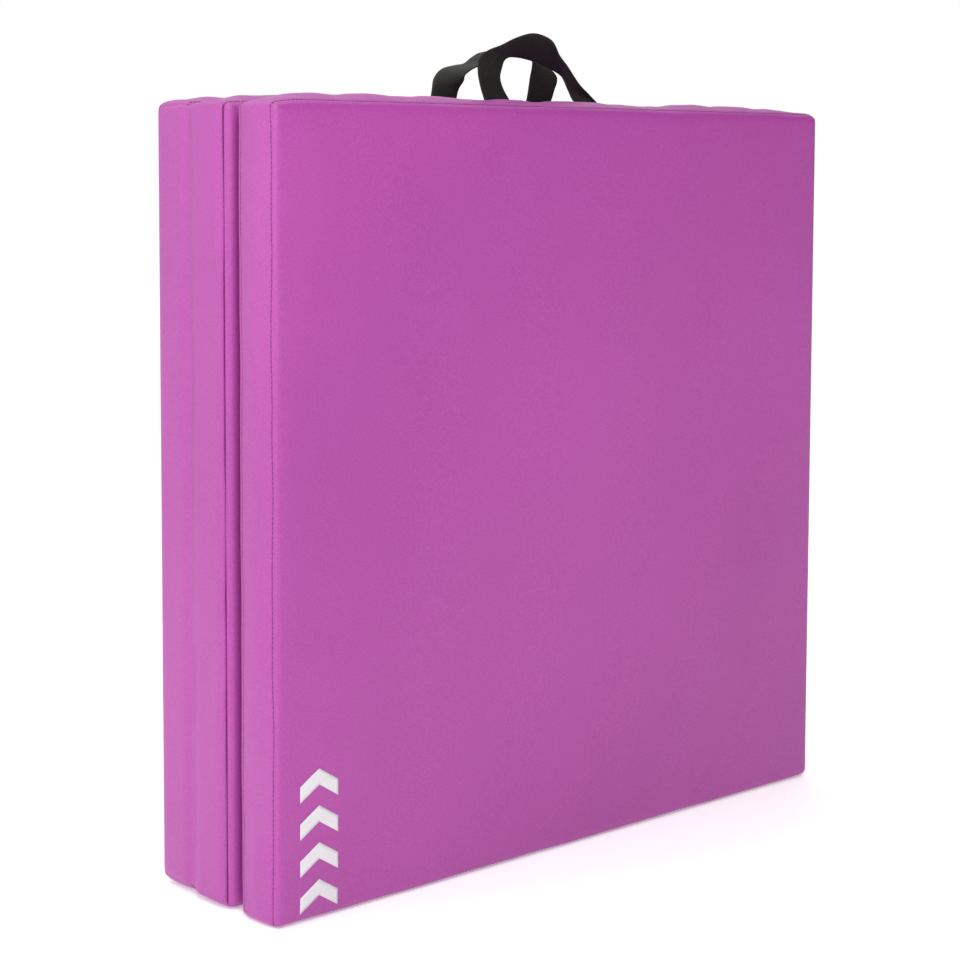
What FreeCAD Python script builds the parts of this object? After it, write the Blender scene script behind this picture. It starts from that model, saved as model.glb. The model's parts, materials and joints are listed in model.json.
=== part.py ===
"""A folding gym mat: three foam panels in vinyl covers, hinged in a Z and carried by two webbing loops.

Millimetres. X runs along a panel, Y through the stack of folded panels, and Z is up. The mat stands
folded on its long edge. The origin is the middle of the middle panel's bottom band, on the floor.

The front panel turns about an upright line at the right edge, where it meets the middle panel. The rear
panel turns about one at the left edge. The front panel stands a little ajar, as a soft mat does.
Each panel is a foam core in a cover of two face skins and four bands, with a sewn seam round each face.
"""

import os

import FreeCAD
import Part

# Panels
PANEL_LENGTH = 610.0
PANEL_HEIGHT = 600.0
PANEL_THICKNESS = 47.0
EDGE_RADIUS = 5.0
VINYL = 0.8
CORE_CLEARANCE = 0.3

# Seams: the thread lies in a slot between a face skin and the bands, on their turned-in edges
SEAM_FROM_FACE = 6.0
THREAD = 0.6
THREAD_CLEARANCE = 0.1
THREAD_RECESS = 0.15
ALLOWANCE_DEPTH = 8.0
PARTING_GAP = 0.1
POCKET_CLEARANCE = 0.1

# Hinges
FACE_GAP = 1.0
END_GAP = 0.5
AJAR_DEG = 0.8
HINGE_BEAD_CLEARANCE = 0.35
HINGE_LEAF_SPARE = 0.3

# Handles
WEBBING_WIDTH = 30.0
WEBBING_THICKNESS = 1.6
HANDLE_SPACING = 110.0
HANDLE_BEND_RADIUS = 30.0
HANDLE_LEG = 18.0
HANDLE_CLEARANCE = 0.3
TAIL_DEPTH = 28.0

# Places that follow from the sizes above
PITCH = PANEL_THICKNESS + FACE_GAP
HINGE_X = PANEL_LENGTH / 2 + END_GAP
HINGE_Y = PITCH / 2
SEAM_Y = PANEL_THICKNESS / 2 - SEAM_FROM_FACE
ALLOWANCE_HALF = VINYL + PARTING_GAP / 2
THREAD_SLOT_HALF = THREAD / 2 + THREAD_CLEARANCE
ALLOWANCE_INSET = VINYL + ALLOWANCE_DEPTH
HINGE_LEAF_WIDTH = ALLOWANCE_INSET + HINGE_LEAF_SPARE
HANDLE_AXIS_Z = PANEL_HEIGHT + WEBBING_THICKNESS / 2 + HANDLE_CLEARANCE
HANDLE_SIDES = (-1, 1)

# Which way each panel's face carries something: +1 is the face towards +Y, and -1 the one towards -Y
FACES = {"front": -1, "back": 1}
PANELS = {
    "front": {"hinges": [(1, 1)], "handle": 1},
    "middle": {"hinges": [(1, -1), (-1, 1)], "handle": None},
    "rear": {"hinges": [(-1, -1)], "handle": -1},
}
HINGE_NAMES = {("front", 1): "front", ("middle", -1): "front", ("middle", 1): "rear", ("rear", -1): "rear"}


def box(x0, x1, y0, y1, z0, z1):
    """A plain box between three pairs of planes."""
    return Part.makeBox(x1 - x0, y1 - y0, z1 - z0, FreeCAD.Vector(x0, y0, z0))


def pillow(inset):
    """The panel's outer form, smaller by inset on every side, with every edge rounded."""
    half_length = PANEL_LENGTH / 2 - inset
    half_thickness = PANEL_THICKNESS / 2 - inset
    block = box(-half_length, half_length, -half_thickness, half_thickness, inset, PANEL_HEIGHT - inset)
    return block.makeFillet(EDGE_RADIUS - inset, block.Edges)


def outline_plate(inset, y0, y1):
    """The panel's outline in XZ, smaller by inset, as a plate from y0 to y1 with its corners rounded."""
    half_length = PANEL_LENGTH / 2 - inset
    block = box(-half_length, half_length, y0, y1, inset, PANEL_HEIGHT - inset)
    radius = EDGE_RADIUS - inset
    if radius <= 0:
        return block
    corners = [e for e in block.Edges if abs(e.Vertexes[0].Y - e.Vertexes[1].Y) > (y1 - y0) / 2]
    return block.makeFillet(radius, corners)


def outline_ring(outer_inset, inner_inset, y0, y1):
    """A flat ring that follows the panel's outline between two insets, from y0 to y1."""
    return outline_plate(outer_inset, y0, y1).cut(outline_plate(inner_inset, y0 - 1, y1 + 1))


def mitre_cut(x_side, z_corner, z_side):
    """A thin diagonal slab that parts two bands at one corner of the panel."""
    reach = 4 * ALLOWANCE_INSET
    slab = box(-reach, reach, -PANEL_THICKNESS, PANEL_THICKNESS, -PARTING_GAP / 2, PARTING_GAP / 2)
    slab.rotate(FreeCAD.Vector(0, 0, 0), FreeCAD.Vector(0, 1, 0), -45 * x_side * z_side)
    slab.translate(FreeCAD.Vector(x_side * PANEL_LENGTH / 2, 0, z_corner))
    return slab


def handle_pocket(face, depth, clearance):
    """The two slots through a seam that the ends of a webbing handle are sewn into."""
    slots = []
    for side in HANDLE_SIDES:
        middle = side * HANDLE_SPACING / 2
        half_width = WEBBING_WIDTH / 2 + clearance
        half_thickness = WEBBING_THICKNESS / 2 + clearance
        slots.append(
            box(
                middle - half_width,
                middle + half_width,
                face * SEAM_Y - half_thickness,
                face * SEAM_Y + half_thickness,
                PANEL_HEIGHT - depth - clearance,
                PANEL_HEIGHT + 1,
            )
        )
    return slots


def hinge_leaf_block(end, face):
    """The block that a hinge leaf is cut from, at one end of one face."""
    outer = PANEL_LENGTH / 2 + 1
    inner = PANEL_LENGTH / 2 - HINGE_LEAF_WIDTH
    x0, x1 = sorted((end * inner, end * outer))
    y0, y1 = sorted((face * SEAM_Y, face * (PANEL_THICKNESS / 2 + 1)))
    margin = ALLOWANCE_INSET + EDGE_RADIUS
    return box(x0, x1, y0, y1, margin, PANEL_HEIGHT - margin)


def shrunk_block(block, gap):
    """The same block, smaller by gap along X and Z, so that a leaf stays clear of its face skin."""
    b = block.BoundBox
    return box(b.XMin + gap, b.XMax - gap, b.YMin, b.YMax, b.ZMin + gap, b.ZMax - gap)


def foam_core(panel):
    """The foam block, slotted for the turned-in edges of the cover and for the handle's ends."""
    core = pillow(VINYL + CORE_CLEARANCE)
    for face in FACES.values():
        y0, y1 = sorted((face * SEAM_Y - ALLOWANCE_HALF, face * SEAM_Y + ALLOWANCE_HALF))
        slot = outline_ring(0, ALLOWANCE_INSET + POCKET_CLEARANCE, y0 - POCKET_CLEARANCE, y1 + POCKET_CLEARANCE)
        core = core.cut(slot)
    if panel["handle"]:
        core = core.cut(handle_pocket(panel["handle"], TAIL_DEPTH, 2 * POCKET_CLEARANCE))
    return core


def cover(panel):
    """The whole vinyl cover before it is parted: a thin shell with its edges turned in at both seams."""
    outer = pillow(0)
    shell = outer.cut(pillow(VINYL))
    for face in FACES.values():
        y0, y1 = face * SEAM_Y - ALLOWANCE_HALF, face * SEAM_Y + ALLOWANCE_HALF
        turned_in = outline_ring(0, ALLOWANCE_INSET, y0, y1).common(outer)
        shell = shell.fuse(turned_in)
    for face in FACES.values():
        middle = face * SEAM_Y
        slot = outline_ring(-1, VINYL, middle - THREAD_SLOT_HALF, middle + THREAD_SLOT_HALF)
        parting = outline_ring(-1, PANEL_HEIGHT / 3, middle - PARTING_GAP / 2, middle + PARTING_GAP / 2)
        shell = shell.cut([slot, parting])
    if panel["handle"]:
        shell = shell.cut(handle_pocket(panel["handle"], TAIL_DEPTH, POCKET_CLEARANCE))
    return shell


def thread_line(panel, face):
    """The sewing thread round one face, left out where a handle's webbing passes through the seam."""
    middle = face * SEAM_Y
    line = outline_ring(THREAD_RECESS, THREAD_RECESS + THREAD, middle - THREAD / 2, middle + THREAD / 2)
    if panel["handle"] == face:
        line = line.cut(handle_pocket(face, TAIL_DEPTH, POCKET_CLEARANCE))
    return line


def band_side(solid):
    """Which side of the panel a band covers, from where its middle lies."""
    middle = solid.CenterOfMass
    if middle.z > 0.9 * PANEL_HEIGHT:
        return "top"
    if middle.z < 0.1 * PANEL_HEIGHT:
        return "bottom"
    return "left" if middle.x < 0 else "right"


def panel_pieces(name):
    """Every piece of one panel's core and cover, standing at the middle of the mat."""
    panel = PANELS[name]
    shell = cover(panel)
    pieces = {f"{name}_panel_foam_core": foam_core(panel)}
    far = PANEL_LENGTH
    for face_name, face in FACES.items():
        y0, y1 = sorted((face * SEAM_Y, face * PANEL_THICKNESS))
        skin = shell.common(box(-far, far, y0, y1, -far, 2 * far))
        for end, hinge_face in panel["hinges"]:
            if hinge_face == face:
                block = hinge_leaf_block(end, face)
                hinge = HINGE_NAMES[name, face]
                pieces[f"{hinge}_hinge_leaf_on_{name}_panel"] = skin.common(shrunk_block(block, PARTING_GAP))
                skin = skin.cut(block)
        pieces[f"{name}_panel_{face_name}_skin"] = skin
        pieces[f"{name}_panel_{face_name}_seam_thread"] = thread_line(panel, face)
    bands = shell.common(box(-far, far, -SEAM_Y, SEAM_Y, -far, 2 * far))
    cuts = [mitre_cut(x, z, 1 if z else -1) for x in (-1, 1) for z in (0, PANEL_HEIGHT)]
    for solid in bands.cut(cuts).Solids:
        pieces[f"{name}_panel_{band_side(solid)}_band"] = solid
    return pieces


def hinge_bead(end, y_hinge):
    """The rib of sewn vinyl on a hinge line, as a half round that fills the valley between two panels."""
    valley = 2**0.5 * EDGE_RADIUS + (END_GAP**2 + (FACE_GAP / 2) ** 2) ** 0.5 - EDGE_RADIUS
    radius = valley - HINGE_BEAD_CLEARANCE
    foot = FreeCAD.Vector(end * HINGE_X, y_hinge, EDGE_RADIUS)
    rod = Part.makeCylinder(radius, PANEL_HEIGHT - 2 * EDGE_RADIUS, foot)
    x0, x1 = sorted((0, end * HINGE_X))
    return rod.common(box(x0, x1, -PITCH, PITCH, 0, PANEL_HEIGHT))


def handle_loop(face):
    """The free loop of a webbing handle: two legs, two bends and a level grip, standing up from its seam."""
    half_spacing = HANDLE_SPACING / 2
    half_width = WEBBING_WIDTH / 2
    crown = HANDLE_AXIS_Z + HANDLE_LEG + HANDLE_BEND_RADIUS
    y0 = face * SEAM_Y - WEBBING_THICKNESS / 2
    y1 = y0 + WEBBING_THICKNESS

    def arch(offset):
        """A block as wide and tall as the loop's middle line moved out by offset, with rounded shoulders."""
        block = box(-half_spacing - offset, half_spacing + offset, y0, y1, 0, crown + offset)
        top_corners = [
            e
            for e in block.Edges
            if e.Vertexes[0].Z > HANDLE_AXIS_Z and abs(e.Vertexes[0].Y - e.Vertexes[1].Y) > 1e-6
        ]
        return block.makeFillet(HANDLE_BEND_RADIUS + offset, top_corners)

    above = box(-PANEL_LENGTH, PANEL_LENGTH, y0, y1, HANDLE_AXIS_Z, 2 * PANEL_HEIGHT)
    loop = arch(half_width).cut(arch(-half_width)).common(above)
    for side in HANDLE_SIDES:
        foot = FreeCAD.Vector(side * half_spacing - half_width, face * SEAM_Y, HANDLE_AXIS_Z)
        hem = Part.makeCylinder(WEBBING_THICKNESS / 2, WEBBING_WIDTH, foot, FreeCAD.Vector(1, 0, 0))
        loop = loop.fuse(hem)
    return loop.removeSplitter()


def handle_tails(face):
    """The two ends of a webbing handle, sewn between the turned-in edges of the cover."""
    return Part.makeCompound(
        [slot.common(box(-PANEL_LENGTH, PANEL_LENGTH, -PITCH, PITCH, 0, PANEL_HEIGHT)) for slot in handle_pocket(face, TAIL_DEPTH, 0)]
    )


def place(shape, name):
    """Moves a piece of the named panel from the middle of the mat to where the panel stands."""
    moved = shape.copy()
    if name == "front":
        moved.translate(FreeCAD.Vector(0, -PITCH, 0))
        moved.rotate(FreeCAD.Vector(HINGE_X, -HINGE_Y, 0), FreeCAD.Vector(0, 0, 1), AJAR_DEG)
    if name == "rear":
        moved.translate(FreeCAD.Vector(0, PITCH, 0))
    return moved


def mat():
    """Every piece of the mat, by name."""
    pieces = {}
    for name, panel in PANELS.items():
        for piece, shape in panel_pieces(name).items():
            pieces[piece] = place(shape, name)
        if panel["handle"]:
            pieces[f"{name}_handle_loop"] = place(handle_loop(panel["handle"]), name)
            pieces[f"{name}_handle_tails"] = place(handle_tails(panel["handle"]), name)
    pieces["front_hinge_bead"] = hinge_bead(1, -HINGE_Y)
    pieces["rear_hinge_bead"] = hinge_bead(-1, HINGE_Y)
    return pieces


os.makedirs("parts", exist_ok=True)
for piece_name, piece_shape in mat().items():
    solids = piece_shape.Solids
    whole = solids[0] if len(solids) == 1 else Part.makeCompound(solids)
    if not whole.isValid():
        raise ValueError(f"{piece_name} is not a valid solid")
    whole.exportStep(f"parts/{piece_name}.step")
    print(f"{piece_name}: {len(solids)} solids, {whole.Volume / 1000:.2f} cm3")
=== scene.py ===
# %% [markdown]
# # A folding gym mat in Blender
# The mat is three padded panels in vinyl covers, joined in a Z by two upright hinges, with two webbing
# loops to carry it. Its engineering model is loaded first, as a frame that nothing here may move. Every
# piece below is a new surface laid over that frame, and its sizes are read from it.

# %% Load the frame
import json
import math

import bpy
import numpy as np
from mathutils import Euler, Matrix, Vector


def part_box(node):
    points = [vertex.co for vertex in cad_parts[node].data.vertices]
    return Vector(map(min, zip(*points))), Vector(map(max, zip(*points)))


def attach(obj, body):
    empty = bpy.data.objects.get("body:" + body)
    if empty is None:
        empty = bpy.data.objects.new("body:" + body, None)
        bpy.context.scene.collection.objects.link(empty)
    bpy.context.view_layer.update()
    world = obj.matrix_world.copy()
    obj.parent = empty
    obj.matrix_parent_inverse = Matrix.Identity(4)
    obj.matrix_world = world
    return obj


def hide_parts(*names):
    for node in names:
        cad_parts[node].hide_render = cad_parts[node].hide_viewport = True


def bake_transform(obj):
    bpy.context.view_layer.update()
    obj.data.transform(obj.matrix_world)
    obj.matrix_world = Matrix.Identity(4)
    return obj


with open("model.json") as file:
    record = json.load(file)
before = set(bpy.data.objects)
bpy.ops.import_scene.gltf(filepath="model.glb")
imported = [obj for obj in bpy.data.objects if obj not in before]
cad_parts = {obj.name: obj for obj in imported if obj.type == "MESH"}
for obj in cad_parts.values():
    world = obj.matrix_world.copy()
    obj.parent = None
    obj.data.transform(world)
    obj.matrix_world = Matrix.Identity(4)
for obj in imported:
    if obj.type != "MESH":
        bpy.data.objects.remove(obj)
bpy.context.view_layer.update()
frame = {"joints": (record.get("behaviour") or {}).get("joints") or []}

# %% [markdown]
# ## Sizes
# Each size that the frame already fixes is measured from it: the panel, the distance between panels, the
# seam lines and the two hinge lines. Only what is soft gets a value of its own, such as how far a seam
# pulls in. All sizes are in metres, and MM turns millimetres into metres.

# %% Read the sizes
MM = 0.001
JOINTS = {joint["name"]: joint for joint in frame["joints"]}
skin_low, skin_high = (np.array(corner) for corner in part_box("middle_panel_back_skin"))
thread_low, thread_high = (np.array(corner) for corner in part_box("middle_panel_back_seam_thread"))
_, rear_high = (np.array(corner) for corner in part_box("rear_panel_back_skin"))
HALF_LENGTH = (skin_high[0] - skin_low[0]) / 2
HEIGHT = skin_high[2] - skin_low[2]
HALF_THICK = skin_high[1]
PITCH = rear_high[1] - skin_high[1]
SEAM_Y = (thread_low[1] + thread_high[1]) / 2
HINGE = {
    "front": np.array(JOINTS["front_fold"]["pos_m"][:2]),
    "rear": np.array(JOINTS["rear_fold"]["pos_m"][:2]),
}
AJAR = -math.radians(JOINTS["front_fold"]["range_deg"][0])
print(f"panel {2 * HALF_LENGTH:.3f} x {HEIGHT:.3f} x {2 * HALF_THICK:.3f} m, seams at {SEAM_Y:.4f} m")

# %% [markdown]
# ## Helpers that turn numbers into pieces
# A surface here is an array of points on a grid. One helper makes the four-sided faces that join
# neighbouring grid points, and another hands points and faces to Blender in one go, which is far faster
# than adding them one by one.


# %% Grid and mesh helpers
def grid_quads(rows, columns, close_rows=False, close_columns=False, first=0):
    """Faces of a grid: each joins (i, j), (i+1, j), (i+1, j+1) and (i, j+1), and a closed way wraps round."""
    i = np.arange(rows if close_rows else rows - 1)
    j = np.arange(columns if close_columns else columns - 1)
    I, J = np.meshgrid(i, j, indexing="ij")
    K, M = (I + 1) % rows, (J + 1) % columns
    corners = [I * columns + J, K * columns + J, K * columns + M, I * columns + M]
    return np.stack(corners, axis=-1).reshape(-1, 4) + first


def put(name, points, faces, smooth=True):
    """A mesh object at the origin from an array of points and a list of faces."""
    mesh = bpy.data.meshes.new(name)
    mesh.from_pydata(np.asarray(points, float).reshape(-1, 3).tolist(), [], [list(map(int, f)) for f in faces])
    mesh.polygons.foreach_set("use_smooth", np.full(len(mesh.polygons), smooth))
    mesh.update()
    piece = bpy.data.objects.new(name, mesh)
    bpy.context.scene.collection.objects.link(piece)
    return piece


def smoothstep(value):
    """Rises smoothly from 0 to 1 as value goes from 0 to 1: 3v2 - 2v3."""
    v = np.clip(value, 0.0, 1.0)
    return v * v * (3 - 2 * v)


def turned(points, hinge, angle):
    """Points turned about an upright line by an angle, or by one angle for each point."""
    x, y = points[..., 0] - hinge[0], points[..., 1] - hinge[1]
    c, s = np.cos(angle), np.sin(angle)
    return np.stack([hinge[0] + x * c - y * s, hinge[1] + x * s + y * c, points[..., 2]], axis=-1)


def place(points, panel):
    """Points of a panel that was made at the middle of the mat, moved to where that panel stands."""
    points = np.asarray(points, float)
    if panel == "front":
        return turned(points - [0, PITCH, 0], HINGE["front"], AJAR)
    if panel == "rear":
        return points + [0, PITCH, 0]
    return points


# %% [markdown]
# ## Camera
# The mat is seen from its front left corner, a little below its top edge. A long lens keeps the upright
# edges nearly parallel. The small shift moves the view without tilting the camera further.

# %% Set the camera
EYE = (-1.237, -1.322, 0.550)
YAW, PITCH_DOWN, ROLL = math.radians(42.26), math.radians(4.63), math.radians(0.21)
camera_data = bpy.data.cameras.new("camera")
camera_data.sensor_width = 36.0
camera_data.lens = 82.6
camera_data.shift_y = -0.14
camera = bpy.data.objects.new("camera", camera_data)
camera.location = EYE
aim = Euler((math.pi / 2 - PITCH_DOWN, 0.0, -YAW)).to_matrix() @ Matrix.Rotation(ROLL, 3, "Z")
camera.rotation_euler = aim.to_euler()
bpy.context.scene.collection.objects.link(camera)
bpy.context.scene.camera = camera
print("camera at", EYE, "lens", camera_data.lens)

# %% [markdown]
# ## Floor and light
# The mat stands on white paper in an evenly lit white room, so there is no horizon. The room is darker on
# the side away from the key light: the end of the mat mirrors the bright side and its face the darker
# one, which tells the two apart. The key light stands near the mat on the left, so the face gets darker
# towards the right.


# %% Make the floor
FLOOR_HALF, FLOOR_LINES = 60.0, 5
floor_line = np.linspace(-FLOOR_HALF, FLOOR_HALF, FLOOR_LINES)
flat_x, flat_y = np.meshgrid(floor_line, floor_line, indexing="ij")
floor = put("floor", np.stack([flat_x, flat_y, 0 * flat_x], axis=-1), grid_quads(FLOOR_LINES, FLOOR_LINES))


# %% Make the lights
def soft_box(name, place_at, aim_at, size, power):
    """A square area light at one point, facing another."""
    light = bpy.data.lights.new(name, "AREA")
    light.shape = "SQUARE"
    light.size = size
    light.energy = power
    lamp = bpy.data.objects.new(name, light)
    lamp.location = place_at
    lamp.rotation_euler = (Vector(aim_at) - Vector(place_at)).to_track_quat("-Z", "Y").to_euler()
    bpy.context.scene.collection.objects.link(lamp)
    return lamp


soft_box("key_light", (-1.0, -1.20, 1.3), (-0.35, 0.0, 0.35), 0.6, 15.5)
soft_box("top_light", (-0.2, 0.5, 2.6), (0.0, 0.0, 0.5), 1.6, 8.0)
soft_box("end_light", (-2.3, 0.8, 1.0), (-0.3, 0.0, 0.3), 1.2, 5.0)
bpy.context.scene.view_settings.view_transform = "Standard"

# %% [markdown]
# ## Building materials from nodes
# A material is a small network. These helpers add a node, set its inputs and join it, so that each
# material below reads as a list of what it is made of.


# %% Node helpers
def node(tree, kind, inputs=(), **settings):
    """Adds a node. inputs maps an input's name or number to a value, or to the output that feeds it."""
    made = tree.nodes.new(kind)
    for key, value in settings.items():
        setattr(made, key, value)
    for key, value in dict(inputs).items():
        if isinstance(value, bpy.types.NodeSocket):
            tree.links.new(value, made.inputs[key])
        else:
            made.inputs[key].default_value = value
    return made


def empty_material(name):
    """A material with its nodes cleared, and its tree."""
    material = bpy.data.materials.new(name)
    material.use_nodes = True
    material.node_tree.nodes.clear()
    return material, material.node_tree


def finish_material(tree, shader):
    """Joins a shader to the material's output."""
    output = tree.nodes.new("ShaderNodeOutputMaterial")
    tree.links.new(shader.outputs[0], output.inputs["Surface"])


def satin(tree, colour, roughness, height, strength, distance, **more):
    """A Principled surface whose relief is a height, as deep as the distance, joined to the material's output."""
    bump = node(tree, "ShaderNodeBump", {"Height": height, "Strength": strength, "Distance": distance})
    values = {"Base Color": colour, "Roughness": roughness, "Normal": bump.outputs["Normal"], **more}
    finish_material(tree, node(tree, "ShaderNodeBsdfPrincipled", values))


def math_node(tree, operation, a, b=0.0):
    """One sum on two values, or the one input that a function such as sine needs."""
    return node(tree, "ShaderNodeMath", {0: a, 1: b}, operation=operation).outputs[0]


def between(tree, share, first, second):
    """The colour that lies between two, by a share from 0 to 1."""
    mix = node(tree, "ShaderNodeMix", {0: share, "A": (*first, 1.0), "B": (*second, 1.0)}, data_type="RGBA")
    return mix.outputs["Result"]


# %% [markdown]
# ## Vinyl
# The covers are a knitted cloth coated with soft plastic. The coating has a fine leather-like grain, a
# satin shine and a colour that is almost even, with faint clouds where the sheet was rolled. The grain is
# a cell pattern with a finer noise over it, and both are used as height, so light picks them out. The
# group is built once, because the ink printed on the vinyl shows the same grain.


# %% Grain as a node group
def grain_group():
    """Cells and fine noise on the Object coordinates: Height for a Bump node, and Cloud for slow changes."""
    group = bpy.data.node_groups.new("moulded_grain", "ShaderNodeTree")
    group.interface.new_socket("Scale", in_out="INPUT", socket_type="NodeSocketFloat").default_value = 900.0
    group.interface.new_socket("Cloud Scale", in_out="INPUT", socket_type="NodeSocketFloat").default_value = 5.0
    group.interface.new_socket("Height", in_out="OUTPUT", socket_type="NodeSocketFloat")
    group.interface.new_socket("Cloud", in_out="OUTPUT", socket_type="NodeSocketFloat")
    given = group.nodes.new("NodeGroupInput")
    place_on = node(group, "ShaderNodeTexCoord").outputs["Object"]
    cells = node(group, "ShaderNodeTexVoronoi", {"Vector": place_on, "Scale": given.outputs["Scale"]})
    finer = math_node(group, "MULTIPLY", given.outputs["Scale"], 1.9)
    noise = node(group, "ShaderNodeTexNoise", {"Vector": place_on, "Scale": finer, "Detail": 2.0})
    cloud = node(
        group, "ShaderNodeTexNoise", {"Vector": place_on, "Scale": given.outputs["Cloud Scale"], "Detail": 3.0}
    )
    low = math_node(group, "MULTIPLY", cells.outputs["Distance"], 0.6)
    high = math_node(group, "MULTIPLY", noise.outputs["Fac"], 0.4)
    height = math_node(group, "ADD", low, high)
    result = group.nodes.new("NodeGroupOutput")
    group.links.new(height, result.inputs["Height"])
    group.links.new(cloud.outputs["Fac"], result.inputs["Cloud"])
    return group


GRAIN = grain_group()


# %% The vinyl itself
def vinyl(name, colour, deeper):
    """Satin vinyl: a colour between two close tones, by a fine mottle and the slow cloud added together,
    with the grain in bump and roughness."""
    material, tree = empty_material(name)
    grain = node(tree, "ShaderNodeGroup", {}, node_tree=GRAIN)
    grain.inputs["Scale"].default_value = 1100.0
    grain.inputs["Cloud Scale"].default_value = 4.0
    where = node(tree, "ShaderNodeTexCoord").outputs["Object"]
    mottle = node(
        tree, "ShaderNodeTexNoise", {"Vector": where, "Scale": 690.0, "Detail": 3.0, "Roughness": 0.75}
    )
    blend = math_node(tree, "ADD", math_node(tree, "MULTIPLY", mottle.outputs["Fac"], 2.4), grain.outputs["Cloud"])
    share = node(tree, "ShaderNodeMapRange", {"Value": blend, "From Min": 1.25, "From Max": 2.15})
    tone = between(tree, share.outputs["Result"], colour, deeper)
    roughness = node(
        tree, "ShaderNodeMapRange", {"Value": grain.outputs["Height"], "To Min": 0.40, "To Max": 0.54}
    )
    satin(tree, tone, roughness.outputs["Result"], grain.outputs["Height"], 0.35, 0.3 * MM)
    return material


# %% [markdown]
# ## Paper and room
# The paper gives off a little light of its own, as paper on a light table does, so it stays white right up
# to the mat. The room is a gradient: white behind the mat and to its left, greyer in front and to its
# right.

# %% Paper and room
PAPER, tree = empty_material("white_paper")
where = node(tree, "ShaderNodeTexCoord").outputs["Object"]
fibres = node(tree, "ShaderNodeTexNoise", {"Vector": where, "Scale": 0.35, "Detail": 4.0})
tone = node(tree, "ShaderNodeMapRange", {"Value": fibres.outputs["Fac"], "To Min": 0.93, "To Max": 0.97})
white = node(tree, "ShaderNodeCombineColor", {0: tone.outputs[0], 1: tone.outputs[0], 2: tone.outputs[0]})
paper = node(
    tree,
    "ShaderNodeBsdfPrincipled",
    {"Base Color": white.outputs[0], "Roughness": 0.9, "Emission Color": (1, 1, 1, 1), "Emission Strength": 0.3},
)
finish_material(tree, paper)
floor.data.materials.append(PAPER)

world = bpy.data.worlds.new("studio")
bpy.context.scene.world = world
world.use_nodes = True
tree = world.node_tree
tree.nodes.clear()
way = node(tree, "ShaderNodeTexCoord").outputs["Generated"]
side = node(tree, "ShaderNodeVectorMath", {0: way, 1: (0.80, -0.60, 0.0)}, operation="DOT_PRODUCT")
shade = node(
    tree,
    "ShaderNodeMapRange",
    {"Value": side.outputs["Value"], "From Min": 0.31, "From Max": 0.6, "To Min": 1.0, "To Max": 0.03},
    interpolation_type="SMOOTHSTEP",
)
background = node(tree, "ShaderNodeBackground", {"Color": (1, 1, 1, 1), "Strength": shade.outputs["Result"]})
output = node(tree, "ShaderNodeOutputWorld", {"Surface": background.outputs[0]})
print("room lit")

# %% [markdown]
# ## The other finishes
# Webbing is a black ribbed weave: ribs run across it, and yarns cross them at a finer step. Its pattern is
# drawn on the UV map, which is measured in metres along and across the strap, so a twist doesn't stretch
# it. Thread is twisted, so it has slanting ridges. Foam shows open cells.


# %% Webbing
def webbing(name):
    """Ribs as a sine along the strap, plus a finer sine across it and a little noise, used as height and as a
    change of tone."""
    material, tree = empty_material(name)
    uv = node(tree, "ShaderNodeUVMap", uv_map="strap")
    parts = node(tree, "ShaderNodeSeparateXYZ", {0: uv.outputs["UV"]})
    across, along = parts.outputs["X"], parts.outputs["Y"]
    rib = math_node(tree, "SINE", math_node(tree, "MULTIPLY", along, 2 * math.pi / (1.5 * MM)))
    yarn = math_node(tree, "SINE", math_node(tree, "MULTIPLY", across, 2 * math.pi / (1.1 * MM)))
    weave = math_node(tree, "ADD", math_node(tree, "MULTIPLY", rib, 0.7), math_node(tree, "MULTIPLY", yarn, 0.3))
    fuzz = node(tree, "ShaderNodeTexNoise", {"Vector": uv.outputs["UV"], "Scale": 3000.0, "Detail": 3.0})
    height = math_node(tree, "ADD", weave, math_node(tree, "MULTIPLY", fuzz.outputs["Fac"], 0.8))
    mixed = node(tree, "ShaderNodeMapRange", {"Value": height, "From Min": -1.0, "From Max": 1.8})
    tone = between(tree, mixed.outputs["Result"], (0.005, 0.0055, 0.0045), (0.021, 0.022, 0.017))
    satin(tree, tone, 0.62, height, 0.6, 0.25 * MM, **{"Specular IOR Level": 0.25})
    return material


# %% Thread, foam and print
def thread(name):
    """Twisted thread: a wave texture on the Object coordinates, as height and tone."""
    material, tree = empty_material(name)
    where = node(tree, "ShaderNodeTexCoord").outputs["Object"]
    twist = node(tree, "ShaderNodeTexWave", {"Vector": where, "Scale": 900.0, "Distortion": 1.0})
    tone = between(tree, twist.outputs["Fac"], (0.13, 0.016, 0.11), (0.24, 0.030, 0.20))
    satin(tree, tone, 0.6, twist.outputs["Fac"], 0.5, 0.1 * MM)
    return material


def open_cells(name):
    """Foam: cells as pits, with painted shade at the bottom of each, where the tone is darker."""
    material, tree = empty_material(name)
    where = node(tree, "ShaderNodeTexCoord").outputs["Object"]
    cells = node(tree, "ShaderNodeTexVoronoi", {"Vector": where, "Scale": 500.0})
    # Painted shade: the tone is darker at the bottom of each cell's pit, by the same distance that gives its
    # depth.
    tone = between(tree, cells.outputs["Distance"], (0.33, 0.35, 0.38), (0.55, 0.57, 0.6))
    satin(tree, tone, 0.95, cells.outputs["Distance"], 0.7, 1 * MM)
    return material


def ink(name):
    """White screen ink: slightly uneven, and about as glossy as the vinyl under it."""
    material, tree = empty_material(name)
    grain = node(tree, "ShaderNodeGroup", {}, node_tree=GRAIN)
    grain.inputs["Scale"].default_value = 1100.0
    grain.inputs["Cloud Scale"].default_value = 60.0
    tone = between(tree, grain.outputs["Cloud"], (0.72, 0.70, 0.72), (0.64, 0.61, 0.64))
    satin(tree, tone, 0.45, grain.outputs["Height"], 0.15, 0.2 * MM)
    return material


VINYL = vinyl("purple_vinyl", (0.405, 0.062, 0.338), (0.318, 0.042, 0.258))
WEBBING = webbing("black_webbing")
THREAD = thread("seam_thread")
FOAM = open_cells("open_cell_foam")
INK = ink("white_ink")
print("materials:", len(bpy.data.materials))

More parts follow.
